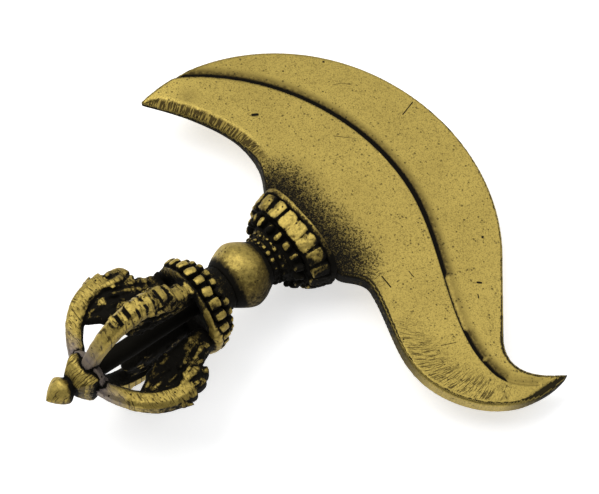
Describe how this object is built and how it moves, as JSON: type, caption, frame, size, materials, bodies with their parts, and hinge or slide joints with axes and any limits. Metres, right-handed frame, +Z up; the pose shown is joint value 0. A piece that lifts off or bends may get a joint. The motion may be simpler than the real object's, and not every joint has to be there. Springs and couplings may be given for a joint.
{
  "type": "ritual chopper",
  "caption": "Kartika chopper: brass crescent blade with a pointed tip and a hooked lower end, on a lotus collar, a round knob and a pronged half vajra handle.",
  "frame": {"origin": "centre of the bounding box on the table it lies on", "axes": "+Z up from the table, +X along the handle from the finial to the blade, seen from above, +Y toward the pointed tip of the blade"},
  "size_m": [0.1448, 0.1426, 0.047],
  "materials": {
    "blade_brass": "worn polish with fine pits, scratches and a darkened groove",
    "hidden_brass": "plain drawn wire",
    "dark_brass": "nearly black patina, unpolished",
    "worn_brass": "cast ornament, rubbed bright on its crests and dark in its hollows",
    "knob_brass": "polished by handling, with small dark pits",
    "prong_brass": "filed on its smooth part, dark in the hollows of the head",
    "braze": "grey violet bloom left by brazing",
    "filed_brass": "coarse file marks with brown patina in them"
  },
  "bodies": {
    "root": {"blade": "blade_brass", "tang_rivet": "hidden_brass", "spindle": "dark_brass", "collar_rim": "worn_brass", "collar_petals_large": "worn_brass", "collar_petals_small": "worn_brass", "lotus_collar": "dark_brass", "neck_ring": "worn_brass", "knob": "knob_brass", "hub_beads_small": "worn_brass", "hub_beads_large": "worn_brass", "lotus_hub": "dark_brass", "prong_upper": "prong_brass", "prong_front": "prong_brass", "prong_lower": "prong_brass", "prong_rear": "prong_brass", "braze_seam": "braze", "tip_cap": "filed_brass", "finial_bud": "knob_brass"}
  },
  "joints": []
}
